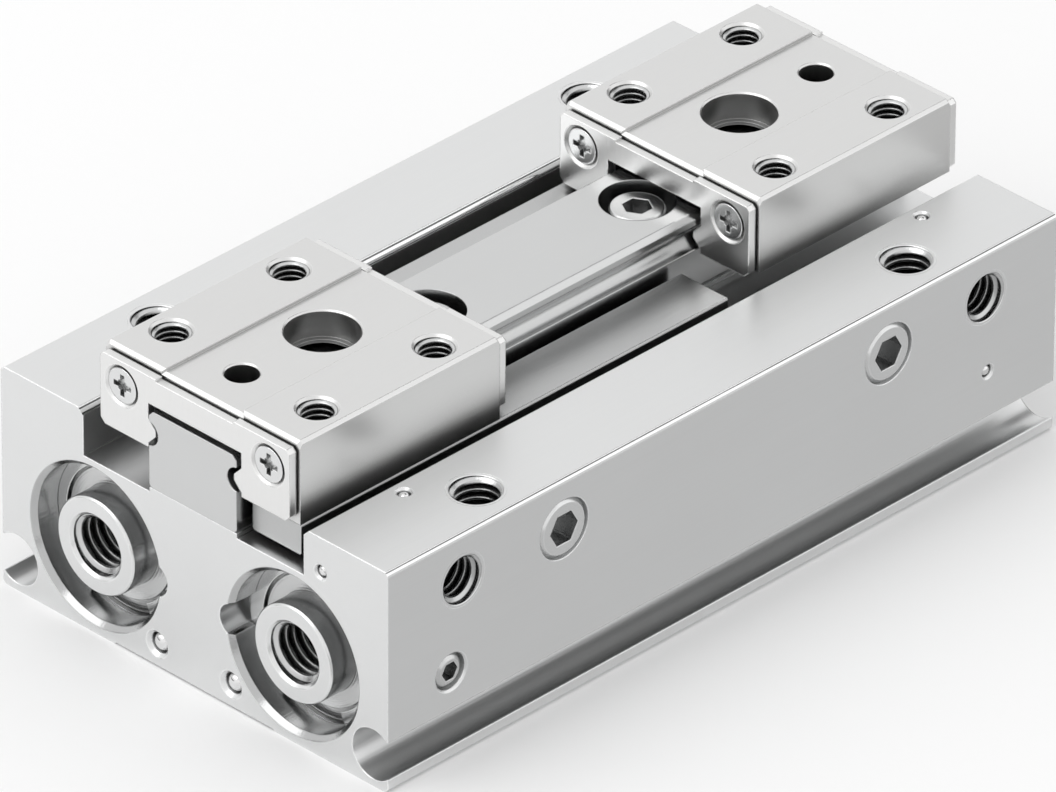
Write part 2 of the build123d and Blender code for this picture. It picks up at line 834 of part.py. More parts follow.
def make_lock_screws():
    """Grub screws with a rounded rim that lock an end cap from each long side."""
    x = -half_length + lock_end
    length = half_width - lock_sink - bore_y - bore_r - cap_gap
    profile = Polygon(
        (0, 0),
        (lock_face_r, 0),
        (lock_rim_r, lock_rim_depth),
        (lock_r, lock_shoulder_depth),
        (lock_r, length),
        (0, length),
        align=None)
    frame = Pos(x, -half_width + lock_sink, lock_z) * Rot(-90, 0, 0)
    socket = extrude(RegularPolygon(lock_af / 2, 6, major_radius=False), amount=lock_socket_depth)
    screw = frame * (revolve(Plane.XZ * profile, Axis.Z) - socket)
    return [screw, turned(screw)]


def rack_gap_profile():
    """Gap between two rack teeth in X and Y, for a rack whose teeth point to +Y at y = 0."""
    slope = tan(radians(pressure_angle))
    half = rack_pitch / 4 + tooth_play / 2
    addendum = gear_module + tip_relief
    dedendum = root_share * gear_module
    return Polygon(
        (-half - slope * addendum, addendum),
        (half + slope * addendum, addendum),
        (half - slope * dedendum, -dedendum),
        (-half + slope * dedendum, -dedendum),
        align=None)


def make_piston():
    """Piston a: two heads with a rack between them, at the open position of the jaw."""
    piston = rod_x(rod_r, piston_start, piston_end, -bore_y, bore_z)
    flat_y = -pitch_r + gear_module
    tall = 2 * bore_z
    piston -= block(piston_start, piston_end, flat_y, 0, 0, tall)
    gap = rack_gap_profile()
    for index in range(-rack_teeth_front, rack_teeth_rear):
        piston -= Pos(index * rack_pitch, -pitch_r, 0) * along_z(gap, 0, tall)
    for start, side in ((piston_start, 1), (piston_end, -1)):
        head = rod_x(head_r, start, start + side * head_length, -bore_y, bore_z)
        outer_face = head.faces().sort_by(Axis.X)[0 if side > 0 else -1]
        piston += chamfer(outer_face.edges(), head_chamfer)
        piston -= band(seal_groove_r, start + side * seal_groove_x, side * seal_groove_width)
        seat_end = start + side * (buffer_thickness - buffer_proud)
        seat = rod_x(buffer_outer_r, start, seat_end, -bore_y, bore_z)
        piston -= seat - rod_x(buffer_inner_r, start, seat_end, -bore_y, bore_z)
    piston -= band(magnet_groove_r, piston_start + magnet_groove_x, magnet_width)
    piston -= block(tang_x - tang_length / 2, tang_x + tang_length / 2, -tang_outer_y - tang_fit,
                    -tang_inner_y + tang_fit, tang_bottom_z, tall)
    return piston


def band(inner_r, start, width):
    """Ring-shaped cut round piston a from its outside down to inner_r."""
    outer = rod_x(recess_mouth_r, start, start + width, -bore_y, bore_z)
    return outer - rod_x(inner_r, start, start + width, -bore_y, bore_z)


def make_piston_seals():
    """Lip seals of piston a."""
    seals = []
    for start, side in ((piston_start, 1), (piston_end, -1)):
        x0 = start + side * (seal_groove_x + seal_play)
        x1 = x0 + side * (seal_groove_width - 2 * seal_play)
        lip_end = x0 + side * seal_lip_depth
        seal = rod_x(bore_r - seal_bore_gap, x0, x1, -bore_y, bore_z)
        seal -= rod_x(seal_groove_r, x0, x1, -bore_y, bore_z)
        slot = rod_x(bore_r - seal_lip, x0, lip_end, -bore_y, bore_z)
        seal -= slot - rod_x(seal_groove_r + seal_lip, x0, lip_end, -bore_y, bore_z)
        seals.append(seal)
    return seals


def make_piston_magnet():
    """Ring magnet in the front head of piston a."""
    x0 = piston_start + magnet_groove_x
    magnet = rod_x(magnet_r, x0, x0 + magnet_width, -bore_y, bore_z)
    return magnet - rod_x(magnet_groove_r, x0, x0 + magnet_width, -bore_y, bore_z)


def make_piston_buffers():
    """Rubber buffers in the end faces of piston a."""
    buffers = []
    for start, side in ((piston_start, 1), (piston_end, -1)):
        x0 = start - side * buffer_proud
        x1 = x0 + side * buffer_thickness
        ring = rod_x(buffer_outer_r, x0, x1, -bore_y, bore_z)
        buffers.append(ring - rod_x(buffer_inner_r, x0, x1, -bore_y, bore_z))
    return buffers


def involute_angle(radius, base_r):
    """Polar angle of an involute of the circle base_r where it reaches the given radius."""
    pressure = acos(base_r / radius)
    return tan(pressure) - pressure


def pinion_outline():
    """Involute outline of the pinion with one tooth centred on -Y."""
    base_r = pitch_r * cos(radians(pressure_angle))
    root_r = pitch_r - root_share * gear_module
    tip_r = pitch_r + gear_module - tip_relief
    tooth_half = pi / (2 * pinion_teeth) - tooth_play / (4 * pitch_r)
    at_pitch = involute_angle(pitch_r, base_r)
    flank = [(root_r, tooth_half + at_pitch)]
    for step in range(flank_step_count + 1):
        radius = base_r + (tip_r - base_r) * step / flank_step_count
        flank.append((radius, tooth_half + at_pitch - involute_angle(radius, base_r)))
    points = []
    for tooth in range(pinion_teeth):
        middle = -pi / 2 + 2 * pi * tooth / pinion_teeth
        for radius, offset in flank:
            points.append((radius * cos(middle - offset), radius * sin(middle - offset)))
        for radius, offset in reversed(flank):
            points.append((radius * cos(middle + offset), radius * sin(middle + offset)))
    return Polygon(*points, align=None)


def make_pinion():
    """Pinion that ties the two racks together, with a hub down to the cover."""
    gear = along_z(pinion_outline(), pinion_bottom_z, pinion_top_z)
    gear += rod_z(pinion_hub_r, cover_top_z + running_gap, pinion_bottom_z, 0, 0)
    return gear - rod_z(bush_r, 0, pinion_top_z, 0, 0)


def make_pinion_bush():
    """Plain bush pressed into the pinion."""
    bush = rod_z(bush_r, cover_top_z + running_gap, pinion_top_z, 0, 0)
    return bush - rod_z(pin_r + running_gap, 0, pinion_top_z, 0, 0)


def make_pinion_pin():
    """Pin of the pinion, from the cover up into the body."""
    return rod_z(pin_r, cover_middle_z, pin_top_z, 0, 0)


def make_pinion_cover():
    """Round cover under the pinion, with the lower seat of the pin and a seal groove."""
    cover = rod_z(cover_r - cap_gap, base_relief_depth, cover_top_z, 0, 0)
    cover -= rod_z(pin_r, cover_middle_z, cover_top_z, 0, 0)
    half = oring_groove_share * cover_seal_r
    groove = rod_z(cover_r, cover_middle_z - half, cover_middle_z + half, 0, 0)
    core_r = cover_r - 2 * cover_seal_r - 2 * oring_gap
    return cover - (groove - rod_z(core_r, cover_middle_z - half, cover_middle_z + half, 0, 0))


def make_pinion_cover_seal():
    """O-ring of the pinion cover."""
    ring = round_ring(cover_r - cover_seal_r - oring_gap, cover_seal_r - oring_gap)
    return Pos(0, 0, cover_middle_z) * ring


def write(name, shapes):
    """Write one node's solids to its STEP file."""
    solids = []
    for shape in (shapes if isinstance(shapes, list) else [shapes]):
        solids.extend(shape.solids())
    node = Compound(solids) if len(solids) > 1 else solids[0]
    node.label = name
    export_step(node, f"parts/{name}.step")


def jaw_pieces():
    """Every piece that moves with jaw a, by name."""
    return {
        "jaw": make_jaw(),
        "end_plate_outer": make_end_plate("outer"),
        "end_plate_inner": make_end_plate("inner"),
        "end_seal_outer": make_end_seal("outer"),
        "end_seal_inner": make_end_seal("inner"),
        "plate_screws": make_plate_screws(),
        "guide_balls": make_guide_balls(),
        "driver_bar": make_driver(),
        "driver_screws": make_driver_screws(),
        "piston": make_piston(),
        "piston_seals": make_piston_seals(),
        "piston_magnet": make_piston_magnet(),
        "piston_buffers": make_piston_buffers(),
    }


def main():
    """Make and write every piece."""
    os.makedirs("parts", exist_ok=True)
    write("housing", make_housing())
    write("guide_rail", make_rail())
    write("rail_screws", make_rail_screws())
    write("channel_balls", make_channel_balls())
    write("port_plugs", make_port_plugs())
    write("cap_lock_screws", make_lock_screws())
    for place, cap in four_places(make_end_cap()).items():
        write(f"end_cap_{place}", cap)
    for place, ring in ring_places().items():
        write(f"retaining_ring_{place}", ring)
    write("cap_seals", list(four_places(make_cap_seal()).values()))
    write("pinion", make_pinion())
    write("pinion_bush", make_pinion_bush())
    write("pinion_pin", make_pinion_pin())
    write("pinion_cover", make_pinion_cover())
    write("pinion_cover_seal", make_pinion_cover_seal())
    for name, shapes in jaw_pieces().items():
        pieces = shapes if isinstance(shapes, list) else [shapes]
        write(f"{name}_a", pieces)
        write(f"{name}_b", [turned(piece) for piece in pieces])


main()
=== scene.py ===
import json
from collections import namedtuple
from math import cos, pi, radians, sin

import bmesh
import bpy
import numpy as np
from bpy.props import FloatProperty, FloatVectorProperty, IntProperty, PointerProperty
from mathutils import Matrix, Vector


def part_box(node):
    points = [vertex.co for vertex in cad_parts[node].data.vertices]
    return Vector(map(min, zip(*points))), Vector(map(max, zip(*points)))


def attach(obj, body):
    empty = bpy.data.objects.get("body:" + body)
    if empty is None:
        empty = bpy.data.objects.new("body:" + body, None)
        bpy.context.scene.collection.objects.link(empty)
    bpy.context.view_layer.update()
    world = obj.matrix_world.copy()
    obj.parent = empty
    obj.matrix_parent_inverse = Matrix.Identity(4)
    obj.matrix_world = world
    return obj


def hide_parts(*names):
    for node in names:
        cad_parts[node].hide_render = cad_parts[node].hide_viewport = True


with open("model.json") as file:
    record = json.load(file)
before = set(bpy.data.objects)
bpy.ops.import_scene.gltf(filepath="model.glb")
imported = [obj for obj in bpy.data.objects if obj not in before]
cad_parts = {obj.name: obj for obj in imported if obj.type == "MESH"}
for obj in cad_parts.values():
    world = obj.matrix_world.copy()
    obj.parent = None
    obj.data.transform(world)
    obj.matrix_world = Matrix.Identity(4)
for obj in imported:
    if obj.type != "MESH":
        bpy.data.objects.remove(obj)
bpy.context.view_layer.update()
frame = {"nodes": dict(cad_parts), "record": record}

bl_info = {
    "name": "Parallel gripper dressing",
    "version": (1, 0, 0),
    "blender": (4, 5, 0),
    "location": "View3D > Sidebar > Gripper",
    "description": "Finishes, cut threads and a plain studio for a pneumatic parallel gripper",
    "category": "Object",
}

mm = 0.001
hole_gap = 0.022 * mm  # between a hole and its thread, so that the facets of the hole stay behind it
seam_gap = 0.002 * mm  # between a collar and the chamfer that it fills
collar_lip = 0.05 * mm  # bevel at the inner edge of a collar
merge_distance = 0.0002 * mm
soft_step = 0.05 * mm  # over which the mask of the recesses rises
sharp_step = 0.01 * mm  # over which the mask of the long edges rises
rail_screw_pitch = 20 * mm  # between the two rail screws of one end
ball_steps = 16  # rows of faces from pole to pole


# Settings

class FinishSettings(bpy.types.PropertyGroup):
    """Colours and surface values of the metals and the rubber."""

    body_colour: FloatVectorProperty(
        name="Body", description="Clear anodised aluminium of the body", subtype="COLOR",
        size=3, default=(0.76, 0.765, 0.765), min=0.0, max=1.0)
    jaw_colour: FloatVectorProperty(
        name="Jaws", description="Ground steel of the jaws and their end plates", subtype="COLOR",
        size=3, default=(0.72, 0.72, 0.715), min=0.0, max=1.0)
    steel_colour: FloatVectorProperty(
        name="Steel", description="Steel of the rail, the bars and the small pieces", subtype="COLOR",
        size=3, default=(0.68, 0.685, 0.685), min=0.0, max=1.0)
    rubber_colour: FloatVectorProperty(
        name="Rubber", description="Seals and wipers", subtype="COLOR",
        size=3, default=(0.022, 0.022, 0.023), min=0.0, max=1.0)
    body_roughness: FloatProperty(
        name="Body roughness", description="Roughness of the anodised body",
        default=0.34, min=0.05, max=1.0, subtype="FACTOR")
    edge_radius: FloatProperty(
        name="Edge radius", description="Radius to which the light rounds every edge",
        default=0.16 * mm, min=0.0, unit="LENGTH")
    strip_edge: FloatProperty(
        name="Strip edge", description="Chamfer of the outer edges of the strips",
        default=0.3 * mm, unit="LENGTH")
    channel_edge: FloatProperty(
        name="Channel edge", description="Chamfer of the edges of the channel",
        default=0.5 * mm, unit="LENGTH")
    channel_half: FloatProperty(
        name="Half channel", description="Half the width of the channel", default=11.4 * mm, unit="LENGTH")
    hollow_reach: FloatProperty(
        name="Hollow reach", description="Distance over which walls close to each other dim the metal",
        default=7 * mm, min=0.0, unit="LENGTH")


class ThreadSettings(bpy.types.PropertyGroup):
    """Pitches and fineness of the cut threads."""

    port_pitch: FloatProperty(
        name="Port pitch", description="Pitch of the air port threads", default=0.8 * mm, unit="LENGTH")
    body_pitch: FloatProperty(
        name="Body pitch", description="Pitch of the threads in the body", default=0.7 * mm, unit="LENGTH")
    jaw_pitch: FloatProperty(
        name="Jaw pitch", description="Pitch of the threads in the jaws", default=0.5 * mm, unit="LENGTH")
    body_length: FloatProperty(
        name="Body length", description="Length of the threads in the body", default=5.5 * mm, unit="LENGTH")
    jaw_length: FloatProperty(
        name="Jaw length", description="Length of the threads in the jaws", default=3.9 * mm, unit="LENGTH")
    port_length: FloatProperty(
        name="Port length", description="Length of the air port threads", default=5.2 * mm, unit="LENGTH")
    mouth: FloatProperty(
        name="Mouth", description="Chamfer of the threaded holes in the body",
        default=0.22 * mm, unit="LENGTH")
    lead_in: FloatProperty(
        name="Lead-in", description="How far a body thread reaches into its collar",
        default=0.17 * mm, unit="LENGTH")
    depth_share: FloatProperty(
        name="Thread height", description="Height of a thread as a share of its pitch",
        default=0.54, min=0.1, max=0.8, subtype="FACTOR")
    steps: IntProperty(
        name="Steps a turn", description="Columns of the mesh round one turn", default=40, min=12)


class StudioSettings(bpy.types.PropertyGroup):
    """Camera and light of the plain studio."""

    azimuth: FloatProperty(
        name="Azimuth", description="Camera direction round the body",
        default=radians(-45.505), subtype="ANGLE")
    elevation: FloatProperty(
        name="Elevation", description="Camera height above the horizon",
        default=radians(31.996), subtype="ANGLE")
    roll: FloatProperty(
        name="Roll", description="Turn of the camera about its line of sight",
        default=radians(0.3145), subtype="ANGLE")
    distance: FloatProperty(
        name="Distance", description="From the camera to the middle of the object",
        default=1.2767, unit="LENGTH")
    target_height: FloatProperty(
        name="Target height", description="Height of the point the camera turns about",
        default=4.34 * mm, unit="LENGTH")
    shift_right: FloatProperty(
        name="Right", description="Camera travel to its right", default=-0.293 * mm, unit="LENGTH")
    shift_up: FloatProperty(
        name="Up", description="Camera travel upwards", default=4.43 * mm, unit="LENGTH")
    lens: FloatProperty(
        name="Lens", description="Focal length for a 36 mm wide sensor", default=588.6, min=1.0)
    floor_colour: FloatVectorProperty(
        name="Floor", description="Colour of the floor", subtype="COLOR",
        size=3, default=(0.93, 0.93, 0.93), min=0.0, max=1.0)
    sky_strength: FloatProperty(
        name="Room light", description="Strength of the white room on matt surfaces", default=0.88, min=0.0)
    key_power: FloatProperty(
        name="Main light", description="Power of the large soft lamp over the left shoulder",
        default=5.4, min=0.0)
    key_size: FloatProperty(
        name="Main light size", description="Side of the square lamp", default=1.2, unit="LENGTH")
    key_place: FloatVectorProperty(
        name="Main light place", description="Middle of the lamp",
        size=3, default=(-0.75, 0.35, 1.05), subtype="TRANSLATION", unit="LENGTH")


# Shader arithmetic

class Wire:
    """A shader socket that takes part in Python arithmetic, one Math node for each operation."""

    def __init__(self, shader, socket):
        self.shader = shader
        self.socket = socket

    def math(self, operation, first, second=0.0):
        """Result of one Math node."""
        return self.shader.add("ShaderNodeMath", {"operation": operation}, {0: first, 1: second})

    def apply(self, operation):
        """Result of a Math node that takes this value alone."""
        return self.math(operation, self)

    def sibling(self, name):
        """Another output of the same node."""
        return Wire(self.shader, self.socket.node.outputs[name])

    def __add__(self, other):
        return self.math("ADD", self, other)

    def __radd__(self, other):
        return self.math("ADD", other, self)

    def __sub__(self, other):
        return self.math("SUBTRACT", self, other)

    def __rsub__(self, other):
        return self.math("SUBTRACT", other, self)

    def __mul__(self, other):
        return self.math("MULTIPLY", self, other)

    def __rmul__(self, other):
        return self.math("MULTIPLY", other, self)

    def __truediv__(self, other):
        return self.math("DIVIDE", self, other)

    def __rtruediv__(self, other):
        return self.math("DIVIDE", other, self)

    def __pow__(self, other):
        return self.math("POWER", self, other)

    def __abs__(self):
        return self.apply("ABSOLUTE")

    def clip(self):
        """The value held between 0 and 1."""
        return self.shader.add("ShaderNodeClamp", {}, {"Value": self})


class Shader:
    """A material and its nodes."""

    def __init__(self, name):
        self.material = bpy.data.materials.new(name)
        self.material.use_nodes = True
        self.tree = self.material.node_tree
        self.surface = self.tree.nodes["Principled BSDF"]

    def add(self, kind, settings, inputs, output=0):
        """Adds a node: its settings first, then the values or wires of its inputs."""
        node = self.tree.nodes.new(kind)
        for key, value in settings.items():
            setattr(node, key, value)
        for key, value in inputs.items():
            self.feed(node.inputs[key], value)
        return Wire(self, node.outputs[output])

    def feed(self, socket, value):
        """Sets a socket, or links it if the value is a wire."""
        if isinstance(value, Wire):
            self.tree.links.new(value.socket, socket)
        else:
            socket.default_value = value

    def put(self, **inputs):
        """Feeds the surface's sockets; a double name is written with an underscore."""
        for key, value in inputs.items():
            self.feed(self.surface.inputs[key.replace("_", " ")], value)

    def place(self):
        """Position on the object, in metres."""
        return self.add("ShaderNodeTexCoord", {}, {}, "Object")

    def axes(self):
        """X, Y and Z of the position."""
        split = self.add("ShaderNodeSeparateXYZ", {}, {0: self.place()})
        return [split.sibling(key) for key in "XYZ"]

    def noise(self, per_metre, detail):
        """Fractal noise from about 0 to 1, with a number of cells per metre on each axis."""
        cells = self.add("ShaderNodeVectorMath", {"operation": "MULTIPLY"}, {0: self.place(), 1: per_metre})
        return self.add("ShaderNodeTexNoise", {}, {"Vector": cells, "Scale": 1.0, "Detail": detail})

    def tint(self, colour, factor):
        """A colour times a varying factor."""
        return self.add("ShaderNodeVectorMath", {"operation": "SCALE"}, {0: colour, "Scale": factor})

    def rounded(self, radius):
        """Normal that rounds every edge to the radius."""
        return self.add("ShaderNodeBevel", {"samples": 6}, {"Radius": radius})

    def blend(self, first, second, factor):
        """A vector that goes from the first to the second."""
        inputs = {0: factor, 4: first, 5: second}
        return self.add("ShaderNodeMix", {"data_type": "VECTOR"}, inputs, 1)

    def edges(self, rounded, gain=16.0):
        """Mask that is 1 on the rounded edges and 0 elsewhere: how far the rounded normal leans."""
        flat = self.add("ShaderNodeNewGeometry", {}, {}, "Normal")
        lean = self.add("ShaderNodeVectorMath", {"operation": "DOT_PRODUCT"}, {0: rounded, 1: flat}, "Value")
        return ((1 - lean) * gain).clip()

    def hollows(self, reach, local):
        """Mask for painted shade, 1 deep inside a hollow and 0 where four fifths of the sky are open."""
        full_sky = 0.8
        open_sky = self.add(
            "ShaderNodeAmbientOcclusion", {"samples": 8, "only_local": local}, {"Distance": reach}, "AO")
        return (1 - open_sky / full_sky).clip()

    def bumped(self, height, depth, normal):
        """Normal of a relief as deep as depth metres."""
        return self.add("ShaderNodeBump", {}, {"Height": height, "Distance": depth, "Normal": normal})


class RoomShader(Shader):
    """The shader of a world, fed in the same way."""

    def __init__(self, world):
        self.tree = world.node_tree
        self.surface = self.tree.nodes["Background"]


# Finishes

def radius_round(first, second):
    """Distance from an axis whose two offsets are given."""
    return (first * first + second * second) ** 0.5


def metal(name, colour, roughness, grain, depth, cloud=0.04, spread=0.04, edge=0.14, hollow=0.75, local=True,
          rounding=1.0, cut=None):
    """Metal with a grain, a slow cloud in its colour, uneven roughness, smoother edges painted brighter (a
    painted highlight, partly wear) and painted shade in its hollows.

    Cloud and spread are how much the grain changes colour and roughness, edge and hollow how much the painted
    highlight brightens an edge and the painted shade darkens a hollow. Rounding is the share of the edge
    radius that its edges take. A cut is a function that gives a mask of the places that are turned smooth and
    painted darker, a painted shade in the recesses; only the body has one, and its long edges are rounded as
    well, smoother and painted brighter, a painted highlight.
    """
    worn_polish = 0.14
    # Painted shade that darkens the turned recesses of the body, and the roughness they lose
    recess_painted_shade, cut_polish = 0.36, 0.18
    # Painted highlight that brightens the long chamfers of the body, and the roughness they lose
    chamfer_painted_highlight, milled_polish = 0.2, 0.18
    shader = Shader(name)
    settings = bpy.context.scene.gripper_finish
    lines = grain(shader)
    slow = shader.noise((90.0, 140.0, 140.0), 3.0)
    rounded = shader.rounded(settings.edge_radius * rounding)
    wear_and_highlight = shader.edges(rounded)
    # Painted shade: the metal darkens in its hollows, and between parts where local is off
    dim = (1 - shader.hollows(settings.hollow_reach, local) * hollow).clip()
    # The edge term is a painted highlight on the rounded edges, partly wear
    shade = (1 + (lines - 0.5) * cloud + (slow - 0.5) * cloud + wear_and_highlight * edge) * dim
    rough = roughness + (lines - 0.5) * spread + (slow - 0.5) * spread - wear_and_highlight * worn_polish
    if cut:
        turned = cut(shader)
        # The chamfer mask rounds and smooths the long chamfers, and paints a highlight on them
        milled, rounded = strip_edges(shader, rounded)
        # Painted shade darkens the turned recesses, and a painted highlight brightens the long chamfers
        shade = shade * (1 - turned * recess_painted_shade) * (1 + milled * chamfer_painted_highlight)
        rough = rough - turned * cut_polish - milled * milled_polish
    shader.put(
        Base_Color=shader.tint(colour, shade),
        Metallic=1.0,
        Roughness=rough,
        Normal=shader.bumped(lines, depth, rounded))
    return shader.material


def streaks(fine_cells, detail, broad_cells, fine_share):
    """Grain mixed from a fine and a broad noise, each with its cells per metre on each axis."""
    def grain(shader):
        fine = shader.noise(fine_cells, detail)
        broad = shader.noise(broad_cells, 2.0)
        return fine * fine_share + broad * (1 - fine_share)
    return grain


# Long streaks along X on the body, and the short strokes of a grinding wheel
drawn_grain = streaks(
    fine_cells=(55.0, 5200.0, 5200.0), detail=2.0, broad_cells=(25.0, 900.0, 900.0), fine_share=0.65)
ground_grain = streaks(
    fine_cells=(260.0, 7000.0, 7000.0), detail=3.0, broad_cells=(60.0, 1400.0, 1400.0), fine_share=0.7)


def brushed_grain(shader):
    """Short strokes across the plate, along Z."""
    return shader.noise((4000.0, 4000.0, 350.0), 3.0)


def rings_of(distance):
    """Grain of fine turned rings at the distance from an axis that the function gives."""
    rings_per_metre = 6500.0
    ripple_share = 0.2

    def grain(shader):
        inputs = {"W": distance(shader), "Scale": rings_per_metre, "Detail": 2.0}
        fine = shader.add("ShaderNodeTexNoise", {"noise_dimensions": "1D"}, inputs)
        return fine * (1 - ripple_share) + shader.noise((1500.0, 1500.0, 1500.0), 2.0) * ripple_share
    return grain


def bore_distance(shader):
    """Distance from the axis of the nearer cylinder."""
    _, y, z = shader.axes()
    bore = cylinder_axis()
    return radius_round(abs(y) - bore.y, z - bore.z)


def bore_recess(shader):
    """Mask that is 1 inside the mouths of the cylinders and on their chamfers, and 0 on the end faces; the
    body paints shade there.
    """
    past_ring = 0.03 * mm
    low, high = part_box("retaining_ring_b_front")
    reach = (high.y - low.y) / 2 + past_ring
    return ((reach - bore_distance(shader)) / soft_step + 0.5).clip()


def edge_round(shader, share, side):
    """Normal that turns a quarter circle as the share goes from 0 to 1.

    It starts upright, and ends level: away from the middle plane for side 1, and towards it for side -1.
    """
    _, y, _ = shader.axes()
    angle = share.clip() * (pi / 2)
    lean = angle.apply("SINE") * y.apply("SIGN") * side
    return shader.add("ShaderNodeCombineXYZ", {}, {"X": 0.0, "Y": lean, "Z": angle.apply("COSINE")})


def strip_edges(shader, rounded):
    """Mask of the long chamfers of the strips, and the normal that makes round edges of them."""
    settings = bpy.context.scene.gripper_finish
    near_outer, near_inner = 0.02 * mm, 0.025 * mm
    _, y, z = shader.axes()
    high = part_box("housing")[1]
    leg = settings.strip_edge
    outer_share = (abs(y) - (high.y - leg)) / leg
    outer = ((abs(y) + z - (high.y + high.z - leg - near_outer)) / sharp_step).clip()
    leg = settings.channel_edge
    brink = settings.channel_half + leg
    inner_share = (brink - abs(y)) / leg
    on_plane = ((near_inner - abs(z - abs(y) - (high.z - brink))) / sharp_step).clip()
    above = ((z - (high.z - leg)) / sharp_step).clip()
    inner = on_plane * above * ((brink - abs(y)) / sharp_step).clip()
    normal = shader.blend(rounded, edge_round(shader, outer_share, 1.0), outer)
    normal = shader.blend(normal, edge_round(shader, inner_share, -1.0), inner)
    return (outer + inner).clip(), normal


def side_screw_distance(node):
    """Distance from the axis, along Y, of the nearer of a node's two screws on a long side."""
    low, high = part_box(node)
    radius = (high.z - low.z) / 2

    def distance(shader):
        x, _, z = shader.axes()
        return radius_round(abs(x) - (high.x - radius), z - (high.z - radius))
    return distance


def rail_screw_distance(shader):
    """Distance from the axis of the nearest rail screw: two folds bring the four onto one."""
    x, y, _ = shader.axes()
    low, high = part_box("rail_screws")
    head = (high.y - low.y) / 2
    outer = high.x - head
    middle = outer - rail_screw_pitch / 2
    return radius_round(abs(abs(x) - middle) - rail_screw_pitch / 2, y)


def plate_screw_distance(shader):
    """Distance from the axis, along X, of the nearer end plate screw."""
    _, y, z = shader.axes()
    low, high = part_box("plate_screws_a")
    head = (high.z - low.z) / 2
    return radius_round(abs(y) - (high.y - head), z - (high.z + low.z) / 2)


def cylinder_axis():
    """Y and Z of the cylinder axes, from the end caps."""
    low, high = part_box("end_cap_b_front")
    return (low + high) / 2


def rubber(name, colour):
    """Moulded rubber, nearly matt, with a fine skin and edges painted paler, partly rubbing wear and partly a
    painted highlight.
    """
    shader = Shader(name)
    skin_shade, rubbed_and_highlight_shade = 0.3, 0.5
    skin_depth = 0.006 * mm
    skin = shader.noise((2600.0, 2600.0, 2600.0), 3.0)
    slow = shader.noise((300.0, 300.0, 300.0), 2.0)
    rounded = shader.rounded(bpy.context.scene.gripper_finish.edge_radius)
    wear_and_highlight = shader.edges(rounded)
    shader.put(
        # Paler edges: a painted highlight, partly rubbing wear
        Base_Color=shader.tint(colour, 1 + (skin - 0.5) * skin_shade + wear_and_highlight * rubbed_and_highlight_shade),
        Roughness=0.52 + (slow - 0.5) * 0.12,
        Normal=shader.bumped(skin, skin_depth, rounded))
    return shader.material


def polished_ball(name, colour):
    """Hardened bearing ball, mirror bright with the faintest ripple."""
    shader = Shader(name)
    ripple = shader.noise((1800.0, 1800.0, 1800.0), 2.0)
    shader.put(
        Base_Color=shader.tint(colour, 1 + (ripple - 0.5) * 0.06),
        Metallic=1.0,
        Roughness=0.07 + ripple * 0.05)
    return shader.material


def plastic_magnet(name):
    """Dark plastic-bonded magnet with tiny bright grains."""
    shader = Shader(name)
    colour = (0.11, 0.105, 0.1)
    speck_level, speck_gain = 0.62, 12
    grain_depth, edge_radius = 0.01 * mm, 0.1 * mm
    grains = shader.noise((3500.0, 3500.0, 3500.0), 3.0)
    specks = ((grains - speck_level) * speck_gain).clip()
    shader.put(
        Base_Color=shader.tint(colour, 0.8 + specks * 1.2),
        Roughness=0.6 - specks * 0.25,
        Normal=shader.bumped(grains, grain_depth, shader.rounded(edge_radius)))
    return shader.material


def toned(colour, factor):
    """The same colour, lighter or darker."""
    return tuple(channel * factor for channel in colour)


